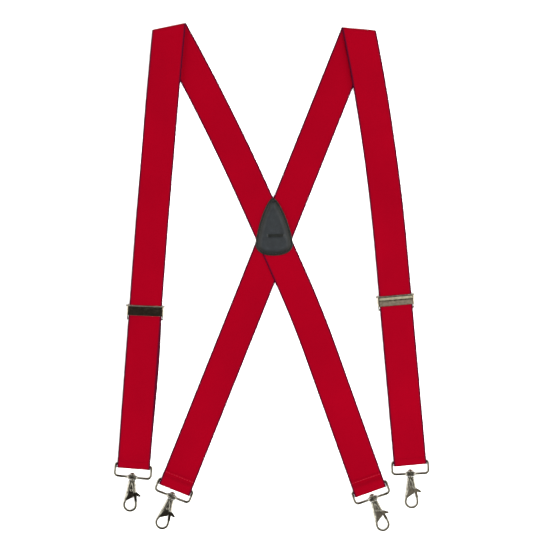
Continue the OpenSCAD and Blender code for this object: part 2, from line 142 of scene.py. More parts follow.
def piece(name, skins, material, smooth=35, double=1e-7):
    """One object from closed skins (points in mm, faces, map in mm), outward facing, with its
    map in metres as UV and edges sharper than smooth degrees kept crisp."""
    points, faces, maps, first = [], [], [], 0
    for p, f, m in skins:
        points.append(p)
        maps.append(m)
        faces += [[first + i for i in face] for face in f]
        first += len(p)
    mesh = bpy.data.meshes.new(name)
    mesh.from_pydata(np.vstack(points) * MM, [], faces)
    corners = np.zeros(len(mesh.loops), np.int32)
    mesh.loops.foreach_get("vertex_index", corners)
    uv = (np.vstack(maps)[corners] * MM).astype(np.float32)
    mesh.uv_layers.new(name="map").data.foreach_set("uv", uv.ravel())
    work = bmesh.new()
    work.from_mesh(mesh)
    bmesh.ops.remove_doubles(work, verts=work.verts, dist=double)
    bmesh.ops.recalc_face_normals(work, faces=work.faces)
    work.to_mesh(mesh)
    work.free()
    return dressed(name, mesh, material, smooth)


def dressed(name, mesh, material, smooth):
    """An object for a mesh, shaded smooth up to an angle, with its material."""
    mesh.polygons.foreach_set("use_smooth", np.ones(len(mesh.polygons), bool))
    mesh.set_sharp_from_angle(angle=math.radians(smooth))
    mesh.materials.append(material)
    obj = bpy.data.objects.new(name, mesh)
    bpy.context.scene.collection.objects.link(obj)
    return obj


# ---- materials ----
def linear(code):
    """A hex colour as linear light."""
    c = np.array([int(code[i:i + 2], 16) for i in (1, 3, 5)]) / 255
    return (*np.where(c <= 0.04045, c / 12.92, ((c + 0.055) / 1.055) ** 2.4), 1.0)


def add(tree, kind, values=None, links=None, stops=None, **settings):
    """A node with its settings, its socket values and its links, each given by socket name or
    number, and where it is a colour ramp its stops, each (place, hex colour)."""
    node = tree.nodes.new(kind)
    for key, value in settings.items():
        setattr(node, key, value)
    for key, value in (values or {}).items():
        node.inputs[key].default_value = value
    for key, source in (links or {}).items():
        tree.links.new(source, node.inputs[key])
    if stops:
        ramp = node.color_ramp.elements
        ramp.remove(ramp[-1])
        ramp[0].position, ramp[0].color = stops[0][0], linear(stops[0][1])
        for place, code in stops[1:]:
            ramp.new(place).color = linear(code)
    return node


def material(name):
    """An empty material and its nodes."""
    m = bpy.data.materials.new(name)
    m.use_nodes = True
    m.node_tree.nodes.clear()
    return m, m.node_tree


RIB_MM = 1.15                    # weft ribs; real ones are about 0.6 mm, too fine to show
WARP_MM = 1.5                    # warp threads, drawn two threads at a time for the same reason
EDGE_SHADE_SPAN = (16.4, 18.4)          # from the middle: where the painted shade along each edge begins and is full
# The last of these colours is painted shade: the webbing is drawn this dark along both edges, where they
# round over
WEB_DARK, WEB_LIGHT, WEB_EDGE_SHADE = "#4E000A", "#6B000E", "#280414"
LEATHER_RIM_SHADE = (3.6, 6.6)         # in from the patch's rim: where its band of painted shade, over the rounded edge and the seam, begins to fade and ends
GRAIN_MM = 0.75                  # leather pebbles
FLECKS, CLOUDS = 900.0, 14.0     # patterns a metre: 1.1 mm flecks in the yarn, 70 mm unevenness
TWIST = 2500.0                   # the thread's twist, 0.4 mm a turn
CREASES = 160.0                  # soft creases in the leather, about 6 mm
TARNISH, MARKS = 350.0, 3000.0   # 3 mm tarnish clouds and 0.3 mm polishing marks


def webbing_material():
    """Elastic webbing, woven of polyester over rubber: fine ribs across, warp threads along,
    a darker band painted along both edges as shade where they round over, and the soft sheen of filament
    yarn."""
    m, t = material("woven elastic webbing")
    place = add(t, "ShaderNodeUVMap", uv_map="map").outputs["UV"]
    part = add(t, "ShaderNodeSeparateXYZ", links={"Vector": place})
    across, along = part.outputs["X"], part.outputs["Y"]
    ribs, warp = [
        add(t, "ShaderNodeMath", links={0: add(t, "ShaderNodeMath", {1: 2 * math.pi / (pitch * MM)},
                                               {0: source}, operation="MULTIPLY").outputs[0]},
            operation="SINE").outputs[0]
        for source, pitch in ((along, RIB_MM), (across, WARP_MM))]
    plain = add(t, "ShaderNodeMath", links={0: ribs, 1: warp}, operation="MULTIPLY").outputs[0]
    weave = add(t, "ShaderNodeMath", {1: 0.6}, {0: plain, 2: ribs}, operation="MULTIPLY_ADD")
    spots = add(t, "ShaderNodeTexNoise", {"Scale": FLECKS, "Detail": 2.0}, {"Vector": place})
    clouds = add(t, "ShaderNodeTexNoise", {"Scale": CLOUDS, "Detail": 2.0},
                 {"Vector": add(t, "ShaderNodeTexCoord").outputs["Object"]})
    shade = add(t, "ShaderNodeMapRange",
                {"From Min": -1.6, "From Max": 1.6, "To Min": 0.30, "To Max": 0.70},
                {"Value": weave.outputs[0]})
    mixed = add(t, "ShaderNodeMath", {1: 0.22}, {0: spots.outputs["Fac"], 2: shade.outputs[0]},
                operation="MULTIPLY_ADD")
    cloudy = add(t, "ShaderNodeMath", {1: 0.30}, {0: clouds.outputs["Fac"], 2: mixed.outputs[0]},
                 operation="MULTIPLY_ADD")
    yarn = add(t, "ShaderNodeValToRGB", links={"Fac": cloudy.outputs[0]},
               stops=[(0.35, WEB_DARK), (0.95, WEB_LIGHT)]).outputs["Color"]
    # Painted shade: the colour darkens towards both edges, where the webbing rounds over, by the
    # distance across from the middle
    edge = add(t, "ShaderNodeMath", links={0: across}, operation="ABSOLUTE").outputs[0]
    edge_shade = add(t, "ShaderNodeMapRange",
                   {"From Min": EDGE_SHADE_SPAN[0] * MM, "From Max": EDGE_SHADE_SPAN[1] * MM}, {"Value": edge})
    mix = add(t, "ShaderNodeMix", {7: linear(WEB_EDGE_SHADE)}, {0: edge_shade.outputs[0], 6: yarn},
              data_type="RGBA")
    bump = add(t, "ShaderNodeBump", {"Strength": 0.55, "Distance": 0.25 * MM},
               {"Height": mixed.outputs[0]})
    shader = add(t, "ShaderNodeBsdfPrincipled",
                 {"Roughness": 0.7, "Specular IOR Level": 0.02, "Sheen Weight": 0.06,
                  "Sheen Roughness": 0.4, "Sheen Tint": linear("#D01028")},
                 {"Base Color": mix.outputs[2], "Normal": bump.outputs[0]})
    add(t, "ShaderNodeOutputMaterial", links={"Surface": shader.outputs[0]})
    return m


def thread_material(name, dark, light):
    """Polyester sewing thread: a twisted, softly shining yarn."""
    m, t = material(name)
    place = add(t, "ShaderNodeTexCoord").outputs["Object"]
    twist = add(t, "ShaderNodeTexNoise", {"Scale": TWIST, "Detail": 2.0}, {"Vector": place})
    colour = add(t, "ShaderNodeValToRGB", links={"Fac": twist.outputs["Fac"]},
                 stops=[(0.3, dark), (0.7, light)])
    bump = add(t, "ShaderNodeBump", {"Strength": 0.4, "Distance": 0.1 * MM},
               {"Height": twist.outputs["Fac"]})
    shader = add(t, "ShaderNodeBsdfPrincipled", {"Roughness": 0.45, "Specular IOR Level": 0.5},
                 {"Base Color": colour.outputs["Color"], "Normal": bump.outputs[0]})
    add(t, "ShaderNodeOutputMaterial", links={"Surface": shader.outputs[0]})
    return m


def leather_material():
    """Full-grain calf leather, dyed slate and waxed: fine pebbled grain with darker creases,
    a soft uneven shine, and a band of painted shade at the rim, over its rounded edge and seam, where
    the map's first number is small."""
    m, t = material("waxed calf leather")
    place = add(t, "ShaderNodeTexCoord").outputs["Object"]
    cells = add(t, "ShaderNodeTexVoronoi", {"Scale": 1 / (GRAIN_MM * MM)}, {"Vector": place},
                feature="DISTANCE_TO_EDGE")
    soft = add(t, "ShaderNodeTexNoise", {"Scale": CREASES, "Detail": 4.0}, {"Vector": place})
    grain = add(t, "ShaderNodeMapRange", {"From Min": 0.0, "From Max": 0.25},
                {"Value": cells.outputs["Distance"]})
    tone = add(t, "ShaderNodeMath", {1: 0.35}, {0: grain.outputs[0], 2: soft.outputs["Fac"]},
               operation="MULTIPLY_ADD").outputs[0]
    part = add(t, "ShaderNodeSeparateXYZ",
               links={"Vector": add(t, "ShaderNodeUVMap", uv_map="map").outputs["UV"]})
    inner = add(t, "ShaderNodeMapRange",
                {"From Min": LEATHER_RIM_SHADE[0] * MM, "From Max": LEATHER_RIM_SHADE[1] * MM},
                {"Value": part.outputs["X"]})
    face = add(t, "ShaderNodeValToRGB", links={"Fac": tone},
               stops=[(0.35, "#111315"), (0.75, "#181B1E"), (1.0, "#222528")]).outputs["Color"]
    # Painted shade: the rim band is drawn in darker colours, as shade over the rounded edge and the
    # seam's groove
    rim = add(t, "ShaderNodeValToRGB", links={"Fac": tone},
              stops=[(0.35, "#060807"), (1.0, "#101211")]).outputs["Color"]
    colour = add(t, "ShaderNodeMix", links={0: inner.outputs[0], 6: rim, 7: face}, data_type="RGBA")
    rough = add(t, "ShaderNodeMapRange",
                {"From Min": 0.3, "From Max": 0.9, "To Min": 0.50, "To Max": 0.36}, {"Value": tone})
    bump = add(t, "ShaderNodeBump", {"Strength": 0.35, "Distance": 0.18 * MM}, {"Height": tone})
    shader = add(t, "ShaderNodeBsdfPrincipled", {"Specular IOR Level": 0.5},
                 {"Base Color": colour.outputs[2], "Normal": bump.outputs[0],
                  "Roughness": rough.outputs[0]})
    add(t, "ShaderNodeOutputMaterial", links={"Surface": shader.outputs[0]})
    return m


def metal_material(name, dark, light, rough):
    """Plated or drawn metal: full reflection in the metal's colour, with faint cloudy tarnish that
    dulls it a little, and fine polishing marks that break up the shine."""
    m, t = material(name)
    place = add(t, "ShaderNodeTexCoord").outputs["Object"]
    clouds = add(t, "ShaderNodeTexNoise", {"Scale": TARNISH, "Detail": 3.0}, {"Vector": place})
    marks = add(t, "ShaderNodeTexNoise", {"Scale": MARKS, "Detail": 2.0}, {"Vector": place})
    colour = add(t, "ShaderNodeValToRGB", links={"Fac": clouds.outputs["Fac"]},
                 stops=[(0.35, dark), (0.65, light)])
    shine = add(t, "ShaderNodeMapRange",
                {"From Min": 0.3, "From Max": 0.7, "To Min": rough, "To Max": rough + 0.06},
                {"Value": clouds.outputs["Fac"]})
    bump = add(t, "ShaderNodeBump", {"Strength": 0.06, "Distance": 0.01 * MM},
               {"Height": marks.outputs["Fac"]})
    shader = add(t, "ShaderNodeBsdfPrincipled", {"Metallic": 1.0},
                 {"Base Color": colour.outputs["Color"], "Roughness": shine.outputs[0],
                  "Normal": bump.outputs[0]})
    add(t, "ShaderNodeOutputMaterial", links={"Surface": shader.outputs[0]})
    return m


WEBBING = webbing_material()
WEB_THREAD = thread_material("polyester thread, red", "#5A0412", "#9A1226")
LEATHER = leather_material()
PATCH_THREAD = thread_material("polyester thread, black", "#0E0F10", "#26292B")
# Nickel is a warm grey. Drawn wire and rolled sheet plate smoothest and mirror most sharply; a
# tumbled casting and turned pins are a little softer, and bare spring wire is dark and dull.
WIRE = metal_material("nickel-plated steel wire, polished", "#918E87", "#AFACA4", 0.13)
CASTING = metal_material("nickel-plated zinc casting, tumbled", "#928F87", "#B0ADA4", 0.17)
SHEET = metal_material("nickel-plated steel sheet, polished", "#A9A396", "#C4BEB2", 0.12)
PINS = metal_material("nickel-plated steel pins, turned", "#9C978D", "#B8B3A9", 0.16)
SPRING = metal_material("spring steel wire, drawn", "#5E5C5A", "#8A8783", 0.28)

# ---- webbing ----
STRAP_W, STRAP_T = 38.1, 1.4
HALF_T = STRAP_T / 2                     # the middle's height where webbing lies on the floor
LOW, HIGH, MIDDLE = 1.1, 6.1, 3.6        # heights of the webbing's middle at a loop, and of the bar
SEWN = 2.5                               # that height where an end is sewn down on the layer below
OVER = 5.4                               # rise of the front run where it lies over the back one
DIP = 4.4                                # near its ring it dips to clear the tilted swivel pin;
                                         # the CAD strap, which the pin enters, has no such dip
LOOP_LEN = 8                             # the strap's lower end, made as the loop piece
TAIL_FROM = 23.8                         # where the adjuster's tail begins, from its middle
LOOP_R = 2.5                             # the middle of the webbing round a ring's bar
LOOP_AT = 3.2                            # that bar's loop, from the strap's end
FOLD_R, FOLD_OUT = 2.7, 3.4              # shoulder fold: middle radius, and outer edge to hinge
FOLD_FLAT = 1.5                          # flat webbing either side of the bend, made with it


def webbing_section():
    """The webbing's outline across (x, height): a flat band with rounded edges, the height falling
    as the square root of 1 less a high power of x, and a shallow groove just inside each woven edge."""
    t = np.linspace(-1, 1, 41)
    x = STRAP_W / 2 * np.sin(math.pi / 2 * t)
    h = STRAP_T / 2 * np.sqrt(np.clip(1 - np.abs(2 * x / STRAP_W) ** 60, 0, 1))
    h -= 0.14 * np.exp(-(((np.abs(x) - 17.4) / 0.4) ** 2))
    top = np.stack([x, h], -1)
    return np.vstack([top, (top * [1, -1])[-2:0:-1]])


SECTION = webbing_section()


def strip(mid, heading, shear=0.0):
    """Webbing whose middle line runs through the points mid: at each, the section lies across the
    heading and square to the line, slid along it by shear times the distance across."""
    step = np.gradient(mid, axis=0)
    run = step / np.linalg.norm(step, axis=1, keepdims=True)
    side = across_of(np.broadcast_to(heading, len(mid)))
    up = np.cross(side, run)
    up /= np.linalg.norm(up, axis=1, keepdims=True)
    x, h = SECTION[:, 0], SECTION[:, 1]
    slid = np.broadcast_to(shear, len(mid))[:, None, None] * x[None, :, None] * run[:, None, :]
    rings = mid[:, None] + side[:, None] * x[None, :, None] + up[:, None] * h[None, :, None] + slid
    length = np.concatenate([[0], np.cumsum(np.linalg.norm(np.diff(mid, axis=0), axis=1))])
    return tube(rings, length, x), length[-1]


def drawn(corners, step=4.0):
    """Points along a side view (distance, height), given as stretches: ("line", y, z, to y, to z) is
    straight, "ramp" is a smooth step between the same four, and ("arc", middle y, middle z, radius,
    from, to) is part of a circle, in degrees."""
    out = []
    for c in corners:
        if c[0] == "arc":
            a = np.radians(np.linspace(c[4], c[5], 19))
            out.append(np.stack([c[1] + c[3] * np.cos(a), c[2] + c[3] * np.sin(a)], -1))
        elif c[0] == "ramp":
            y = np.linspace(c[1], c[3], 15)
            out.append(np.stack([y, c[2] + (c[4] - c[2]) * ease((y - c[1]) / (c[3] - c[1]))], -1))
        else:
            y = np.linspace(c[1], c[3], max(2, int(abs(c[3] - c[1]) / step) + 1))
            out.append(np.stack([y, np.linspace(c[2], c[4], len(y))], -1))
    line = np.vstack(out)
    keep = np.concatenate([[True], np.linalg.norm(np.diff(line, axis=0), axis=1) > 1e-6])
    return line[keep]


def route(start, stretches):
    """A strap's centre line from a start (x, y, heading) through stretches (length, turn): the
    heading turns evenly over each, and the place is the running sum of steps along it. Gives a
    function of distance that returns places and headings; it runs on straight past both ends."""
    knots = np.concatenate([[0], np.cumsum([s[0] for s in stretches])])
    turns = start[2] + np.concatenate([[0], np.cumsum([s[1] for s in stretches])])
    fine = np.linspace(-40, knots[-1] + 40, 4001)
    heading = np.interp(fine, knots, turns)
    ahead = down_of(heading)
    steps = (ahead[1:] + ahead[:-1]) / 2 * np.diff(fine)[:, None]
    place = np.vstack([np.zeros(3), np.cumsum(steps, axis=0)])
    zero = np.array([np.interp(0, fine, place[:, i]) for i in range(3)])
    place += np.array([start[0], start[1], 0]) - zero

    def at(d):
        spots = np.stack([np.interp(d, fine, place[:, i]) for i in range(3)], -1)
        return spots, np.interp(d, fine, heading)

    return at


def lay(name, at, line, shear):
    """A strip of webbing along a route: line is (distance, middle height) at each station."""
    place, heading = at(line[:, 0])
    mid = place + line[:, 1:] * np.array([0, 0, 1.0])
    skin, flat = strip(mid, heading, shear)
    obj = piece(name, [skin], WEBBING)
    return obj


FAR = 400                 # past either end of any strap
# Turns are (length, turn) stretches; lower and upper are the headings of the two runs at the
# shoulder; levels is the back strap's rise over the patch and the other strap, by distance from
# the crossing
SIDES = {
    "left": dict(back_turn=[(231.8, -4.9), (90, 0), (100, -4.5), (168.5, 0)], up=276.8, down=313.5,
                 lower=29.0, upper=-5.5, crossing=24.1,
                 levels=[(-FAR, 0), (-86, 0), (-50, 2.6), (50, 2.6), (86, 0), (FAR, 0)],
                 front_turn=1.2, front_len=515.6, adjuster_at=331.0),
    "right": dict(back_turn=[(577.1, 0)], up=264.4, down=312.7,
                  lower=-21.8, upper=11.5, crossing=-21.8,
                  levels=[(-FAR, 0), (-62, 0), (-28, 1.2), (52, 1.2), (86, 0), (FAR, 0)],
                  front_turn=-6.4, front_len=510.8, adjuster_at=318.0),
}
FRONT_BEND = 260.0        # the front run turns over this length from the shoulder
SHEAR_FADE = 25.0         # the oblique cut at the fold fades over this length


def heading_of(axis):
    """The heading of something drawn along the direction across it."""
    return math.degrees(math.atan2(axis[1], axis[0]))


for side, s in SIDES.items():
    hinge, axis = joint_spot(f"{side}_shoulder_fold")
    fold_a = heading_of(-axis)
    fold = hinge * [1, 1, 0] - FOLD_OUT * down_of(fold_a)
    slant = math.tan(math.radians(s["lower"] - fold_a))
    slope = math.cos(math.radians(s["lower"] - fold_a))
    reach = (FOLD_OUT + FOLD_FLAT) / slope

    # back strap: sewn end, round the ring's bar, and up to the fold
    back = route((fold[0], fold[1], s["lower"]), s["back_turn"])
    total = s["up"] + s["down"]
    end = drawn([("line", 18.5, SEWN, 15.4, SEWN), ("ramp", 15.4, SEWN, 8.8, HIGH),
                 ("line", 8.8, HIGH, LOOP_AT, HIGH), ("arc", LOOP_AT, MIDDLE, LOOP_R, 90, 270),
                 ("line", LOOP_AT, LOW, 28, LOW), ("ramp", 28, LOW, 50, HALF_T)])
    climb = np.linspace(total - 50, reach, 150)
    spots = back(climb)[0]
    height = HALF_T + eased(-(spots @ down_of(s["crossing"])), s["levels"])
    line = np.vstack([np.stack([total - end[:, 0], end[:, 1]], -1)[:-1], np.stack([climb, height], -1)])
    near = 1 - ease((line[:, 0] - reach) / SHEAR_FADE)
    obj = lay(f"{side}_back_webbing", back, line, -slant * near)
    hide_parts(f"{side}_back_strap")
    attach(obj, "back")

    # shoulder bend: the webbing wound obliquely round the hinge line
    turn = np.radians(np.linspace(0, 180, 25))
    x, h = SECTION[:, 0], SECTION[:, 1]
    along = slant * FOLD_OUT * (1 - 2 * turn / math.pi)
    rings = np.stack(np.broadcast_arrays(
        along[:, None] + x[None, :] / slope,
        (FOLD_R - h)[None, :] * np.sin(turn)[:, None],
        FOLD_OUT - (FOLD_R - h)[None, :] * np.cos(turn)[:, None]), -1)
    flat = np.array([slant * FOLD_FLAT, -FOLD_FLAT, 0])
    rings = np.vstack([rings[:1] + flat, rings, rings[-1:] + flat * [-1, 1, 1]])
    rings = placed(rings, hinge * [1, 1, 0], fold_a)
    length = np.concatenate([[-FOLD_FLAT], turn * FOLD_R, [math.pi * FOLD_R + FOLD_FLAT]])
    obj = piece(f"{side}_shoulder_webbing", [tube(rings, length, x)], WEBBING)
    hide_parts(f"{side}_shoulder_bend")
    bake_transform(obj)

    # front run: from the fold, down to the surface, up through the adjuster and on to the ring
    front = route((fold[0], fold[1], s["upper"]),
                  [(FRONT_BEND, s["front_turn"]), (s["front_len"] - FRONT_BEND, 0)])
    at, run = s["adjuster_at"], s["front_len"] - s["adjuster_at"]
    adjuster, turned = front(np.array([at]))
    d = np.linspace(reach, s["front_len"] - LOOP_LEN, 150)
    ahead = (front(d)[0] - adjuster) @ down_of(turned[0])
    height = HALF_T + eased(ahead, [(-FAR, OVER), (68 - at, OVER), (142 - at, 0), (-164, 0),
                                    (-92, OVER), (run - 70, OVER), (run - 40, DIP), (run - 12, DIP),
                                    (run - LOOP_LEN, OVER), (FAR, OVER)])
    near = 1 - ease((d - d[0]) / SHEAR_FADE)
    obj = lay(f"{side}_front_webbing", front, np.stack([d, height], -1), -slant * near)
    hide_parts(f"{side}_front_strap")
    top, low = front(np.array([20.0, s["front_len"] - 12]))[0]
    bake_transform(obj)

    # loop round the ring's bar
    tip = s["front_len"]
    line = drawn([("line", LOOP_LEN, HIGH, LOOP_AT, HIGH), ("arc", LOOP_AT, MIDDLE, LOOP_R, 90, 270),
                  ("line", LOOP_AT, LOW, LOOP_LEN, LOW)])
    line = np.stack([tip - line[:, 0], line[:, 1]], -1)
    obj = lay(f"{side}_loop_webbing", front, line, 0.0)
    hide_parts(f"{side}_hook_loop")
    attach(obj, f"{side}_loop")

    # lower layer: from the ring back up to the adjuster's tail bar, easing to the adjuster's heading
    lever_axis = joint_spot(f"{side}_lever_hinge")[1]
    adjuster_heading = heading_of(-lever_axis)
    skew = math.radians(adjuster_heading - turned[0])
    y = np.linspace(LOOP_LEN, run - TAIL_FROM, 45)
    t = (y - y[0]) / (y[-1] - y[0])
    v, m = TAIL_FROM * math.sin(skew), -math.tan(skew) * (y[-1] - y[0])
    aside = v * (3 * t**2 - 2 * t**3) + m * (t**3 - t**2)
    lean = (v * (6 * t - 6 * t**2) + m * (3 * t**2 - 2 * t)) / (y[-1] - y[0])
    end_place, end_heading = front(np.array([tip]))
    mid = placed(np.stack([aside, y, np.full_like(y, LOW)], -1), end_place[0], end_heading[0])
    skin, flat = strip(mid, end_heading[0] - np.degrees(np.arctan(lean)))
    obj = piece(f"{side}_lower_webbing", [skin], WEBBING)
    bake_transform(obj)

    # tail: round the adjuster's tail bar and sewn down on itself
    line = drawn([("line", -TAIL_FROM, LOW, -9.8, LOW), ("arc", -9.8, 2.75, 1.65, -90, 90),
                  ("ramp", -9.8, 4.4, -19.8, SEWN), ("line", -19.8, SEWN, -27.8, SEWN)], 2.0)
    mid = placed(np.stack([0 * line[:, 0], line[:, 0], line[:, 1]], -1), adjuster[0], adjuster_heading)
    skin, flat = strip(mid, adjuster_heading)
    obj = piece(f"{side}_tail_webbing", [skin], WEBBING)
    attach(obj, f"{side}_adjuster")
    last = back(np.array([total]))
    s.update(adjuster=adjuster[0], adjuster_heading=adjuster_heading,
             back_end=last[0][0], back_end_heading=last[1][0])

# ---- patch ----
PATCH_H, PATCH_W, PATCH_T = 67.4, 43.4, 1.2
PATCH_DROP, PATCH_HEADING = 18.1, 1.7    # its lowest point below the crossing, and its turn
PATCH_WIDE_H = 14.0                      # height of its widest place
PATCH_Z = 4.0                            # underside of the front layer, on both straps


def bell(h):
    """The patch's half width at height h: a superellipse below its widest, and above it
    1 less the 1.3 power of the share of height left, to the power 0.65."""
    low = np.clip(1 - np.clip(1 - h / PATCH_WIDE_H, 0, 1) ** 2.25, 0, 1) ** (1 / 2.25)
    rest = np.clip((h - PATCH_WIDE_H) / (PATCH_H - PATCH_WIDE_H), 0, 1)
    high = np.clip(1 - rest ** 1.3, 0, 1) ** 0.65
    return PATCH_W / 2 * np.where(h < PATCH_WIDE_H, low, high)


def rim_line(n=600):
    """Points round the patch's outline."""
    a = np.linspace(0, math.pi, n // 2)
    h = PATCH_H * (1 - np.cos(a)) / 2
    right = np.stack([bell(h), h], -1)
    return np.vstack([right, (right * [-1, 1])[-2:0:-1]])


RIM = rim_line()


def from_rim(x, h):
    """Distance from points to the patch's outline, the least over its points."""
    p = np.stack([x.ravel(), h.ravel()], -1)
    d = np.sqrt(((p[:, None, :] - RIM[None, :, :]) ** 2).sum(-1)).min(1)
    return d.reshape(x.shape)


SEAM_IN, SEAM_DEEP, SEAM_W = 2.7, 0.6, 0.6     # the seam: in from the rim, depth, half width
PUFF, PUFF_RUN = 1.5, 6.0                      # the face's swell, and the way in over which it rises
BAR = (1.8, 5.4 + PATCH_DROP, 18.5, 4.0)       # the pressed bar: middle, width and height
BAR_DEEP, BAR_SLOPE = 0.95, 0.7
LIP, LIP_OUT, LIP_W = 0.3, 0.9, 0.5            # the leather raised round it: rise, place, half width
BAR_SHADE_AS = 3.9                               # painted shade in the pressed bar: it is drawn as dark as the leather this far in from the rim
CREASE_H, CREASE_DEEP, CREASE_W = 62.4, 0.7, 0.45     # a crease across, below the patch's tip


def patch_skin(z, puffed):
    """The leather patch over its bell outline. The face stands at its thickness and rounds over at
    the rim like a quarter circle. Where puffed, it sinks along the seam by a bell curve, swells
    inside it by a smooth step of the distance from the seam, and has the bar and the crease pressed
    back in. The map's first number is the distance in from the rim, and within the bar a small
    fixed distance, so that the pressed bar gets the rim band's painted shade."""
    a = np.linspace(0, math.pi, 161)
    h = PATCH_H * (1 - np.cos(a)) / 2
    t = np.sin(np.linspace(-math.pi / 2, math.pi / 2, 61))
    x = bell(h)[:, None] * t[None, :]
    h = np.broadcast_to(h[:, None], x.shape)
    d = from_rim(x, h)
    edge = 0.5 * PATCH_T
    back = edge * (1 - rounded(d / edge))
    face = PATCH_T - back
    depth = d
    if puffed:
        face = (face - SEAM_DEEP * np.exp(-(((d - SEAM_IN) / SEAM_W) ** 2))
                + PUFF * ease((d - SEAM_IN) / PUFF_RUN))
        out = np.maximum(np.abs(x - BAR[0]) - BAR[2] / 2, np.abs(h - BAR[1]) - BAR[3] / 2)
        pressed = 1 - ease(out / BAR_SLOPE + 0.5)
        face = face - BAR_DEEP * pressed + LIP * np.exp(-(((out - LIP_OUT) / LIP_W) ** 2))
        face = face - CREASE_DEEP * np.exp(-(((h - CREASE_H) / CREASE_W) ** 2)) * (d > 0.6)
        # Painted shade: the bar's map number is set so that the pressed bar is drawn in the rim band's
        # painted shade
        depth = d * (1 - pressed) + BAR_SHADE_AS * pressed
    top = np.stack([x, h - PATCH_DROP, z + face], -1)
    bottom = np.stack([x, h - PATCH_DROP, z + back], -1)
    rings = np.concatenate([top, bottom[:, -2:0:-1]], axis=1)
    maps = np.concatenate([depth, depth[:, -2:0:-1]], axis=1)
    return tube(placed(rings, (0, 0, 0), PATCH_HEADING), h[:, 0], maps)


for layer, height, puffed in (("patch_front", PATCH_Z, True), ("patch_back", 0.0, False)):
    obj = piece(f"{layer}_leather", [patch_skin(height, puffed)], LEATHER, 60, 1e-6)
    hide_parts(layer)
    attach(obj, "back")


PATCH_STITCH, WEB_STITCH = (2.5, 0.36, 0.3), (2.3, 0.3, 0.25)     # length, radius, half height


def stitches(name, place, ahead, size, colour, body, node):
    """Thread stitches: at each place a short yarn lies along a direction, its radius falling to its
    ends as a power of 1 less the square, flattened in height and bowed up in its middle."""
    length, radius, flat = size
    u = np.linspace(-1, 1, 7)
    a = np.linspace(0, 2 * math.pi, 8, endpoint=False)
    r = radius * np.sqrt(np.clip(1 - u**2, 0, 1)) ** 0.8
    side = np.stack([-ahead[:, 1], ahead[:, 0], 0 * ahead[:, 0]], -1)
    bow = flat * 0.6 * (1 - u**2)
    wide = r[:, None] * np.cos(a)[None, :]
    high = bow[:, None] + r[:, None] * flat / radius * np.sin(a)[None, :]
    skins = [tube(at + u[:, None, None] * length / 2 * way + wide[..., None] * beside
                  + high[..., None] * np.array([0, 0, 1.0]))
             for at, way, beside in zip(place, ahead, side)]
    obj = piece(name, skins, colour, 80)
    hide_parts(node)
    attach(obj, body)


def seam_line(inset, pitch):
    """Places and directions at even spacing along the patch's rim, moved in by the inset."""
    step = np.roll(RIM, -1, axis=0) - np.roll(RIM, 1, axis=0)
    step /= np.linalg.norm(step, axis=1, keepdims=True)
    inner = RIM + inset * np.stack([-step[:, 1], step[:, 0]], -1)
    clear = from_rim(inner[:, 0], inner[:, 1]) > inset - 0.05
    inner = inner[clear]
    length = np.concatenate([[0], np.cumsum(np.linalg.norm(np.diff(inner, axis=0), axis=1))])
    n = int(length[-1] / pitch)
    at = (np.arange(n) + 0.5) * length[-1] / n
    spot, after, before = [np.stack([np.interp(at + off, length, inner[:, i]) for i in range(2)], -1)
                           for off in (0, 0.4, -0.4)]
    ahead = after - before
    ahead /= np.linalg.norm(ahead, axis=1, keepdims=True)
    return spot, ahead


spot, ahead = seam_line(SEAM_IN, 3.1)
height = np.full((len(spot), 1), PATCH_Z + PATCH_T - 0.32)
place = placed(np.hstack([spot - [0, PATCH_DROP], height]), (0, 0, 0), PATCH_HEADING)
ahead = placed(np.hstack([ahead, 0 * height]), (0, 0, 0), PATCH_HEADING)
stitches("patch_seam", place, ahead, PATCH_STITCH, PATCH_THREAD, "back",
         "patch_stitching")


def rows(origin, heading, ys, z, count=11, pitch=3.2):
    """Straight rows of stitch places across a strap, in its own frame."""
    x = (np.arange(count) - (count - 1) / 2) * pitch
    p = np.stack([np.tile(x, len(ys)), np.repeat(ys, count), np.full(count * len(ys), z)], -1)
    return placed(p, origin, heading), np.tile(across_of(heading), (count * len(ys), 1))


THREAD_Z = 3.22           # just on the sewn end's face
sewn = [rows(s["back_end"], s["back_end_heading"], [16.6], THREAD_Z) for s in SIDES.values()]
stitches("back_end_seams", np.vstack([p for p, _ in sewn]), np.vstack([a for _, a in sewn]),
         WEB_STITCH, WEB_THREAD, "back", "back_end_stitching")
for side, s in SIDES.items():
    p, a = rows(s["adjuster"], s["adjuster_heading"], [-22.8, -25.8], THREAD_Z)
    stitches(f"{side}_tail_seam", p, a, WEB_STITCH, WEB_THREAD,
             f"{side}_adjuster", f"{side}_tail_stitching")


# ---- hardware ----
def finished(node, material, bevel, smooth=35):
    """A CAD node's own shape as a merged copy with its edges broken by a small bevel."""
    source = frame["nodes"][node]
    mesh = source.data.copy()
    mesh.materials.clear()
    work = bmesh.new()
    work.from_mesh(mesh)
    bmesh.ops.remove_doubles(work, verts=work.verts, dist=2e-6)
    bmesh.ops.dissolve_limit(work, angle_limit=math.radians(1), verts=work.verts, edges=work.edges)
    work.to_mesh(mesh)
    work.free()
    obj = dressed(node + "_finished", mesh, material, smooth)
    if bevel:
        cut = obj.modifiers.new("broken edges", "BEVEL")
        cut.width, cut.segments = bevel * MM, 3
        cut.limit_method, cut.angle_limit = "ANGLE", math.radians(40)
        cut.harden_normals = True
    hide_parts(node)
    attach(obj, source["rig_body"])


LEVER_HALF, LEVER_Y, LEVER_L = 21.85, -0.2, 12.4      # the plate: half width, middle and length
LEVER_TOP, LEVER_FALL, LEVER_T = 10.15, 0.085, 0.9    # ridge height, fall to each side, thickness
LEVER_ROLL, LEVER_CORNER = 2.3, 2.4                   # how far it rolls down, and its end bend's radius
ROLL_FROM, ROLL_RUN = 3.3, 2.75                       # where the roll over the hinge starts, and its run


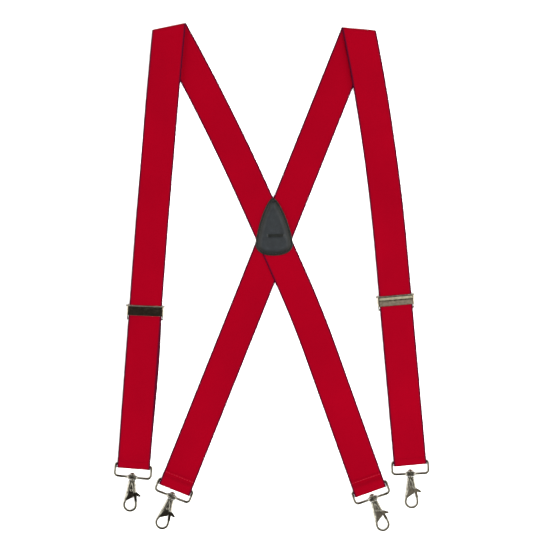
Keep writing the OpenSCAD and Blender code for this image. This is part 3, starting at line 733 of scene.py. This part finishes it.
def lever_skin():
    """The lever plate: thin sheet whose side view is two flat falls from a soft ridge along its
    middle, its ends bent down through a rounded corner. At each place along the strap, the same
    line across is carried, lowered by the square root of its distance from the ridge squared plus a
    little, and over the hinge by a quarter circle, where the plate rolls down to its cam."""
    v = np.linspace(-1, 1, 41)
    y = LEVER_Y + LEVER_L / 2 * np.sin(math.pi / 2 * v)
    fall = LEVER_FALL * np.sqrt((y - LEVER_Y) ** 2 + 1.2) + 0.4 * (y < 0) * np.abs(v) ** 14
    roll = np.clip((y - ROLL_FROM) / ROLL_RUN, 0, 1)
    crown = LEVER_TOP - fall - LEVER_ROLL * (1 - np.sqrt(1 - roll**2))
    r, thin = LEVER_CORNER, LEVER_CORNER - LEVER_T
    a = np.radians(np.linspace(0, 90, 9))
    turn = np.stack([np.sin(a), np.cos(a)], -1)
    flat = np.stack([np.linspace(0, LEVER_HALF - r, 24)[:-1], np.zeros(23)], -1)
    drop = np.array([[LEVER_HALF, -2.5], [LEVER_HALF, -3.35], [LEVER_HALF - 0.1, -3.5]])
    outer = np.vstack([flat, [LEVER_HALF - r, -r] + r * turn, drop])
    inner = np.vstack([flat[:-1] - [0, LEVER_T], [LEVER_HALF - r, -r] + thin * turn,
                       drop[:2] - [LEVER_T, 0], drop[2:] - [LEVER_T - 0.2, 0]])
    half = np.vstack([outer, inner[::-1]])
    line = np.vstack([half, (half * [-1, 1])[::-1]])
    apart = np.linalg.norm(np.diff(line, axis=0), axis=1) > 1e-6
    line = line[np.concatenate([[True], apart])]
    high = crown[:, None] + line[None, :, 1]
    return np.stack(np.broadcast_arrays(line[None, :, 0], y[:, None], high), -1)


def bar_skin(x_half, y, z, ry, rz):
    """A rounded bar across the strap: an ellipse carried along x, drawn in at both ends."""
    a = np.linspace(0, 2 * math.pi, 20, endpoint=False)
    x = np.array([-1, -0.995, -0.985, 0.985, 0.995, 1]) * x_half
    k = np.array([0.6, 0.9, 1, 1, 0.9, 0.6])
    return np.stack(np.broadcast_arrays(x[:, None], y + k[:, None] * ry * np.cos(a)[None, :],
                                        z + k[:, None] * rz * np.sin(a)[None, :]), -1)


for side, s in SIDES.items():
    finished(f"{side}_adjuster_frame", SHEET, 0.15)
    finished(f"{side}_adjuster_rivets", PINS, 0.12)
    skins = [tube(placed(rings, s["adjuster"], s["adjuster_heading"]))
             for rings in (lever_skin(), bar_skin(19.3, 5.3, 8.1, 0.45, 1.1))]
    lever = piece(f"{side}_lever_plate", skins, SHEET, 40)
    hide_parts(f"{side}_adjuster_lever")
    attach(lever, f"{side}_lever")

# The hook body, in its own frame: origin on the ring's lower bar, +y up
CLAW_MID = np.array([-0.4, -32.0])        # the eye's centre
CLAW_R, EYE_R, CLAW_H = 8.6, 5.3, 2.8     # outer radius, eye radius and half thickness
EYE_REACH = 12                            # how far the eye is drawn out upwards at most
NECK_X, NECK_Y = 4.8, -8.0                # where the shoulders meet the neck, either side
NECK_TOP = ((-3.7, -3.2), (3.7, -3.2))
EYE_LINE = [(-5.7, -32), (-4.7, -27.8), (3.4, -22.6), (4.6, -27), (4.9, -32)]
GATE_PIVOT, SLOT_HALF = np.array([0.0, -15.0]), 1.35


def reach_to(planes, a):
    """Distance from the eye's centre at angles a to the nearest of some lines of two points each."""
    ray = np.stack([np.cos(a), np.sin(a)], -1)
    out = np.full(len(a), np.inf)
    for p, q in planes:
        d = np.array(q, float) - p
        n = np.array([d[1], -d[0]])
        away = n @ (np.array(p) - CLAW_MID)
        along = ray @ n * np.sign(away)
        hit = np.where(along > 1e-9, abs(away) / np.maximum(along, 1e-9), np.inf)
        out = np.minimum(out, hit)
    return out


def tangent(q, r, sense):
    """Where a line from q touches the circle of radius r about the eye's centre."""
    d = np.array(q) - CLAW_MID
    a = math.atan2(d[1], d[0]) + sense * math.acos(r / math.hypot(*d))
    return CLAW_MID + r * np.array([math.cos(a), math.sin(a)])


def claw_outlines(a):
    """Outer and eye outlines at angles a about the eye's centre: a circle each, drawn out upwards
    between lines, the eye to a slanting top edge."""
    left, right = (-NECK_X, NECK_Y), (NECK_X, NECK_Y)
    touch_l, touch_r = tangent(left, CLAW_R, 1), tangent(right, CLAW_R, -1)
    neck = reach_to([(left, touch_l), (right, touch_r), NECK_TOP], a)
    first, last = [math.atan2(*(p - CLAW_MID)[::-1]) for p in (touch_r, touch_l)]
    outer = np.where((a > first) & (a < last), np.maximum(neck, CLAW_R), CLAW_R)
    top = reach_to(list(zip(EYE_LINE, EYE_LINE[1:])), a)
    eye = np.where(np.sin(a) > 0.02, np.maximum(np.minimum(top, EYE_REACH), EYE_R), EYE_R)
    return outer, eye


def nearest(points, line):
    """Distance from points to the nearest point of a line of points."""
    flat = points.reshape(-1, 2)
    return np.sqrt(((flat[:, None] - line[None]) ** 2).sum(-1)).min(1).reshape(points.shape[:-1])


def claw_skin():
    """The hook's body between its outer outline and its eye. Its half thickness rises from either
    outline by a quarter circle, wide on the neck and narrow round the eye, less a shallow triangular
    recess down the neck."""
    a = np.linspace(0, 2 * math.pi, 181)[:-1]
    outer, eye = claw_outlines(a)
    v = (1 - np.cos(np.linspace(0, math.pi, 21))) / 2
    ray = np.stack([np.cos(a), np.sin(a)], -1)
    spots = CLAW_MID + ray[:, None] * (eye[:, None] + (outer - eye)[:, None] * v[None, :])[..., None]
    fine = np.linspace(0, 2 * math.pi, 1441)[:-1]
    ray = np.stack([np.cos(fine), np.sin(fine)], -1)
    d_out, d_in = [nearest(spots, CLAW_MID + ray * edge[:, None]) for edge in claw_outlines(fine)]
    wide = ease((spots[..., 1] + 28) / 8)
    h = CLAW_H * rounded(d_out / (1.25 + 2.1 * wide)) * rounded(d_in / 0.85)
    h[:, 0] = 0
    h[:, -1] = 0
    x, y = spots[..., 0], spots[..., 1]
    end, flanks = (-4.2 - y) * 0.9, 0.27 * (-3.6 - y) - np.abs(x - 0.02 * y)
    foot = (y + 27.5 - 0.62 * (x + 4.7)) * 0.85
    inside = np.minimum(np.minimum(end, flanks), foot)
    h_top = h - 0.9 * ease(inside / 0.7) * (d_in > 0.5)
    top = np.concatenate([spots, h_top[..., None]], -1)
    low = np.concatenate([spots, -h[..., None]], -1)
    return np.concatenate([top, low[:, -2:0:-1]], 1)


def prism(outline, low, high):
    """A straight-sided solid over an outline."""
    p = np.array(outline, float)
    return np.stack([np.concatenate([p, np.full((len(p), 1), z)], -1) for z in (low, high)])


def cut_from(obj, rings):
    """Takes a solid, given by its rings, away from an object's mesh."""
    tool = piece(obj.name + "_cut", [tube(rings)], CASTING)
    cut = obj.modifiers.new("slot", "BOOLEAN")
    cut.object, cut.operation, cut.solver = tool, "DIFFERENCE", "EXACT"
    bpy.context.view_layer.update()
    mesh = bpy.data.meshes.new_from_object(obj.evaluated_get(bpy.context.evaluated_depsgraph_get()))
    obj.modifiers.clear()
    obj.data = mesh
    mesh.set_sharp_from_angle(angle=math.radians(40))
    bpy.data.objects.remove(tool)


# The gate's slot: a wide fan swept about its pivot, closed by a small rounded knuckle
SWING, KNUCKLE = np.radians(np.linspace(-106, 40, 19)), np.radians(np.arange(15, 136, 15))
SLOT = GATE_PIVOT + np.vstack([15.8 * np.stack([np.cos(SWING), np.sin(SWING)], -1), [0.4, 3.3],
                               3.3 * np.stack([-np.sin(KNUCKLE), np.cos(KNUCKLE)], -1)])
GAP = [(2.9, -27.6), (12, -27.6), (12, -17.2), (2.9, -17.2)]
for hook in ("left_front", "right_front", "left_back", "right_back"):
    spot, axis = joint_spot(f"{hook}_swivel")
    heading = math.degrees(math.atan2(axis[0], -axis[1]))
    body = tube(placed(claw_skin(), spot, heading), endless=True)
    claw = piece(f"{hook}_hook_body", [body], CASTING, 40)
    cut_from(claw, placed(prism(SLOT, -SLOT_HALF, SLOT_HALF), spot, heading))
    cut_from(claw, placed(prism(GAP, -6, 6), spot, heading))
    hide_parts(f"{hook}_claw")
    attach(claw, f"{hook}_claw")
    finished(f"{hook}_ring", WIRE, 0.15)
    finished(f"{hook}_gate", CASTING, 0.8)
    finished(f"{hook}_swivel_pin", PINS, 0.12)
    finished(f"{hook}_gate_rivet", PINS, 0.1)
    finished(f"{hook}_gate_spring", SPRING, 0)

# ---- studio ----
VIEW_AT = (0.9, -40.4)        # what the camera looks straight down at
VIEW_W = 639.0                # width that it takes in
CAMERA_UP = 4000.0            # height of the camera
FLOOR_Z = -0.6                # just below the straps


def plane(name, size, centre, material):
    """A square sheet facing up."""
    mesh = bpy.data.meshes.new(name)
    h = size / 2
    mesh.from_pydata([((centre[0] + x * h) * MM, (centre[1] + y * h) * MM, centre[2] * MM)
                      for x, y in ((-1, -1), (1, -1), (1, 1), (-1, 1))], [], [(0, 1, 2, 3)])
    mesh.materials.append(material)
    obj = bpy.data.objects.new(name, mesh)
    bpy.context.scene.collection.objects.link(obj)
    return obj


def floor_material():
    """Matt white paper sweep."""
    m, t = material("matt white paper")
    place = add(t, "ShaderNodeTexCoord").outputs["Object"]
    fibre = add(t, "ShaderNodeTexNoise", {"Scale": 40.0}, {"Vector": place})
    colour = add(t, "ShaderNodeValToRGB", links={"Fac": fibre.outputs["Fac"]},
                 stops=[(0.3, "#F4F4F4"), (0.7, "#F8F8F8")])
    shader = add(t, "ShaderNodeBsdfPrincipled", {"Roughness": 0.9, "Specular IOR Level": 0.1},
                 {"Base Color": colour.outputs["Color"]})
    add(t, "ShaderNodeOutputMaterial", links={"Surface": shader.outputs[0]})
    return m


plane("floor", 4000, (0, 0, FLOOR_Z), floor_material())


def lamp(name, spot, target, size, watts, colour="#FFFFFF"):
    """A rectangular softbox at a spot, turned to a target, both in millimetres."""
    data = bpy.data.lights.new(name, "AREA")
    data.shape, data.size, data.size_y, data.energy = "RECTANGLE", size[0] * MM, size[1] * MM, watts
    data.color = linear(colour)[:3]
    obj = bpy.data.objects.new(name, data)
    obj.location = [c * MM for c in spot]
    obj.rotation_euler = (Vector(target) - Vector(spot)).to_track_quat("-Z", "Y").to_euler()
    bpy.context.scene.collection.objects.link(obj)
    return obj


for name, spot, size, watts in (("softbox_over", (560, -520, 2500), (1500, 1500), 150),
                                ("softbox_left", (-1500, 300, 1700), (1000, 1200), 30),
                                ("softbox_right", (1600, -100, 1700), (1000, 1200), 26)):
    box = lamp(name, spot, (0, -40, 0), size, watts)
    box.visible_glossy = False      # polished metal mirrors the studio's walls instead
for name, spot, watts, colour in (("card_high", (330, 240, 1500), 0.62, "#F0F0D8"),
                                  ("card_low", (330, -330, 1500), 0.26, "#EFE4D4")):
    card = lamp(name, spot, (spot[0], spot[1], 0), (460, 330), watts, colour)
    card.visible_diffuse = False    # small pale cards that only polished metal shows

world = bpy.data.worlds.new("studio")
world.use_nodes = True
studio = world.node_tree
toward = add(studio, "ShaderNodeTexCoord").outputs["Generated"]
part = add(studio, "ShaderNodeSeparateXYZ", links={"Vector": toward})
sideways = add(studio, "ShaderNodeMath", links={0: part.outputs["X"]}, operation="ABSOLUTE")
wall = add(studio, "ShaderNodeMapRange",
           {"From Min": 0.35, "From Max": 0.85, "To Min": 0.8, "To Max": 4.6},
           {"Value": sideways.outputs[0]})
ceiling = add(studio, "ShaderNodeValToRGB", links={"Fac": part.outputs["Z"]},
              stops=[(0.0, "#A8A8A4"), (0.55, "#BCBCB6"), (0.80, "#66615A"), (0.92, "#2E2B26"),
                     (1.0, "#403B35")])
studio.links.new(ceiling.outputs["Color"], studio.nodes["Background"].inputs["Color"])
studio.links.new(wall.outputs[0], studio.nodes["Background"].inputs["Strength"])
bpy.context.scene.world = world
bpy.context.scene.view_settings.view_transform = "Standard"

view = bpy.data.cameras.new("camera")
view.sensor_width = 36.0
view.lens = view.sensor_width * CAMERA_UP / VIEW_W
view.clip_end = 20.0
camera = bpy.data.objects.new("camera", view)
camera.location = (VIEW_AT[0] * MM, VIEW_AT[1] * MM, CAMERA_UP * MM)
bpy.context.scene.collection.objects.link(camera)
bpy.context.scene.camera = camera
